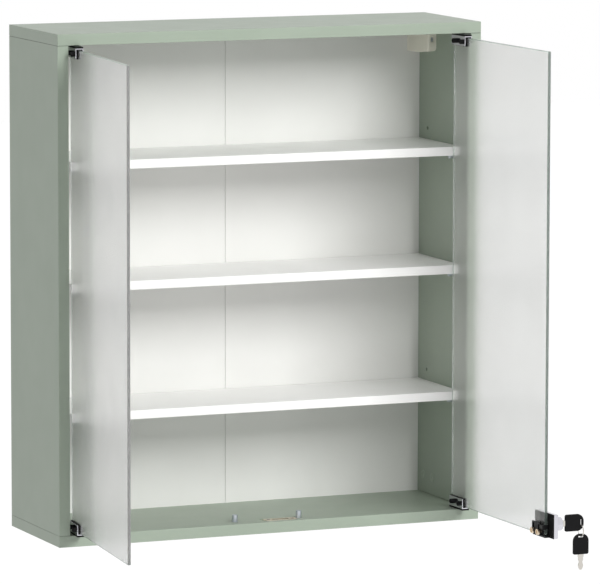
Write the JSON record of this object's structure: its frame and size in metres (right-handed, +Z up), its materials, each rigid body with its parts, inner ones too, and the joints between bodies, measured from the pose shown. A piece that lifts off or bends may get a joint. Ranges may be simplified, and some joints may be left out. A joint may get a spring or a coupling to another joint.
{
  "type": "medicine cabinet",
  "caption": "Wall-hung medicine cabinet of sage board with white shelves and two frameless satin glass doors, one with a keyed bolt lock",
  "frame": {"origin": "wall plane at mid-width, at the height at which the two hooks bear on the wall rail", "axes": "+X to the viewer's right, +Y into the wall, +Z up; modelled with the doors open as pictured"},
  "size_m": [0.6395, 0.4594, 0.6974],
  "materials": {
    "sage_melamine": "satin melamine facing on particle board, matt sage green with the finest pore grain",
    "white_melamine": "white melamine facing, satin",
    "white_hardboard": "white lacquered hardboard, satin",
    "satin_glass": "acid-etched satin glass with polished greenish edges",
    "polished_chrome": "bright chrome plate",
    "nickel_plate": "nickel plate, lightly worn",
    "zinc_steel": "bright zinc-plated steel",
    "brass": "plain brass, satin",
    "black_plastic": "moulded black plastic, fine texture",
    "black_rubber": "matt black rubber",
    "black_painted_steel": "black painted sheet steel, satin",
    "beige_plastic": "moulded beige plastic",
    "green_plastic": "pale green moulded plastic",
    "white_nylon": "natural nylon",
    "bronzed_steel": "beige passivated sheet steel",
    "beech_dowel": "fluted beech, unfinished"
  },
  "bodies": {
    "cabinet": {"bottom_panel": "sage_melamine", "top_panel": "sage_melamine", "left_side_panel": "sage_melamine", "right_side_panel": "sage_melamine", "shelf_lower": "white_melamine", "shelf_middle": "white_melamine", "shelf_upper": "white_melamine", "back_panel_left": "white_hardboard", "back_panel_right": "white_hardboard", "back_joint_strip": "white_hardboard", "shelf_supports_lower": "zinc_steel", "shelf_supports_middle": "zinc_steel", "shelf_supports_upper": "zinc_steel", "cam_bolts": "zinc_steel", "cam_locks": "zinc_steel", "door_stop_pins": "zinc_steel", "hanger_housing_left": "beige_plastic", "hanger_housing_right": "beige_plastic", "cam_cover_caps": "green_plastic", "hinge_bushes": "white_nylon", "strike_plate": "bronzed_steel", "strike_plate_screws": "bronzed_steel", "dowels": "beech_dowel"},
    "left_door": {"left_door_glass": "satin_glass", "left_bottom_hinge_clamp": "polished_chrome", "left_top_hinge_clamp": "polished_chrome", "left_clamp_liners": "black_rubber", "left_pivot_pads": "black_plastic", "left_clamp_screws": "black_plastic"},
    "right_door": {"right_door_glass": "satin_glass", "right_bottom_hinge_clamp": "polished_chrome", "right_top_hinge_clamp": "polished_chrome", "right_clamp_liners": "black_rubber", "right_pivot_pads": "black_plastic", "right_clamp_screws": "black_plastic", "lock_housing": "polished_chrome", "lock_back_pad": "black_rubber", "lock_cylinder": "polished_chrome", "lock_clamp_bracket": "black_painted_steel", "lock_guide_screws": "brass"},
    "lock_bolt_body": {"lock_bolt": "black_painted_steel"},
    "plug": {"lock_plug": "nickel_plate"},
    "key": {"key_bow": "black_plastic", "key_blade": "nickel_plate"},
    "ring": {"key_ring": "nickel_plate"},
    "spare_key": {"spare_key_bow": "black_plastic", "spare_key_blade": "nickel_plate"},
    "left_adjuster": {"hanger_screw_left": "zinc_steel"},
    "right_adjuster": {"hanger_screw_right": "zinc_steel"},
    "left_hook": {"hanger_hook_left": "zinc_steel"},
    "right_hook": {"hanger_hook_right": "zinc_steel"}
  },
  "joints": [
    {"name": "left_door_hinge", "type": "hinge", "parent": "cabinet", "child": "left_door", "pos_m": [-0.273, -0.1705, -0.299], "axis": [0, 0, -1], "range_deg": [-96, 1.5]},
    {"name": "right_door_hinge", "type": "hinge", "parent": "cabinet", "child": "right_door", "pos_m": [0.273, -0.1705, -0.299], "axis": [0, 0, 1], "range_deg": [-91, 9]},
    {"name": "key_turn", "type": "hinge", "parent": "right_door", "child": "plug", "pos_m": [0.28985, -0.44825, -0.5986], "axis": [-0.9998, -0.0175, 0], "range_deg": [0, 90]},
    {"name": "bolt_slide", "type": "slide", "parent": "right_door", "child": "lock_bolt_body", "axis": [0, 0, -1], "range_m": [0, 0.008]},
    {"name": "key_withdraw", "type": "slide", "parent": "plug", "child": "key", "axis": [0.9998, 0.0175, 0], "range_m": [0, 0.0138]},
    {"name": "key_ring_turn", "type": "hinge", "parent": "key", "child": "ring", "pos_m": [0.32504, -0.44763, -0.6096], "axis": [0.9998, 0.0175, 0], "range_deg": [-45, 45]},
    {"name": "spare_key_swing", "type": "hinge", "parent": "ring", "child": "spare_key", "pos_m": [0.32504, -0.44763, -0.6174], "axis": [0.0175, -0.9998, 0], "range_deg": [-18, 18]},
    {"name": "left_hook_adjust", "type": "hinge", "parent": "cabinet", "child": "left_adjuster", "pos_m": [-0.279, -0.071, 0.0045], "axis": [0, 1, 0], "range_deg": [-75, 75]},
    {"name": "left_hook_lift", "type": "slide", "parent": "cabinet", "child": "left_hook", "axis": [0, 0, 1], "range_m": [-0.00216, 0.00216]},
    {"name": "right_hook_adjust", "type": "hinge", "parent": "cabinet", "child": "right_adjuster", "pos_m": [0.279, -0.071, 0.0045], "axis": [0, -1, 0], "range_deg": [-75, 75]},
    {"name": "right_hook_lift", "type": "slide", "parent": "cabinet", "child": "right_hook", "axis": [0, 0, 1], "range_m": [-0.00216, 0.00216]}
  ],
  "couplings": [
    {"joint": "key_turn", "follows": "bolt_slide", "rad_per_m": 196.34},
    {"joint": "left_hook_adjust", "follows": "left_hook_lift", "rad_per_m": 483.6},
    {"joint": "right_hook_adjust", "follows": "right_hook_lift", "rad_per_m": 483.6}
  ]
}
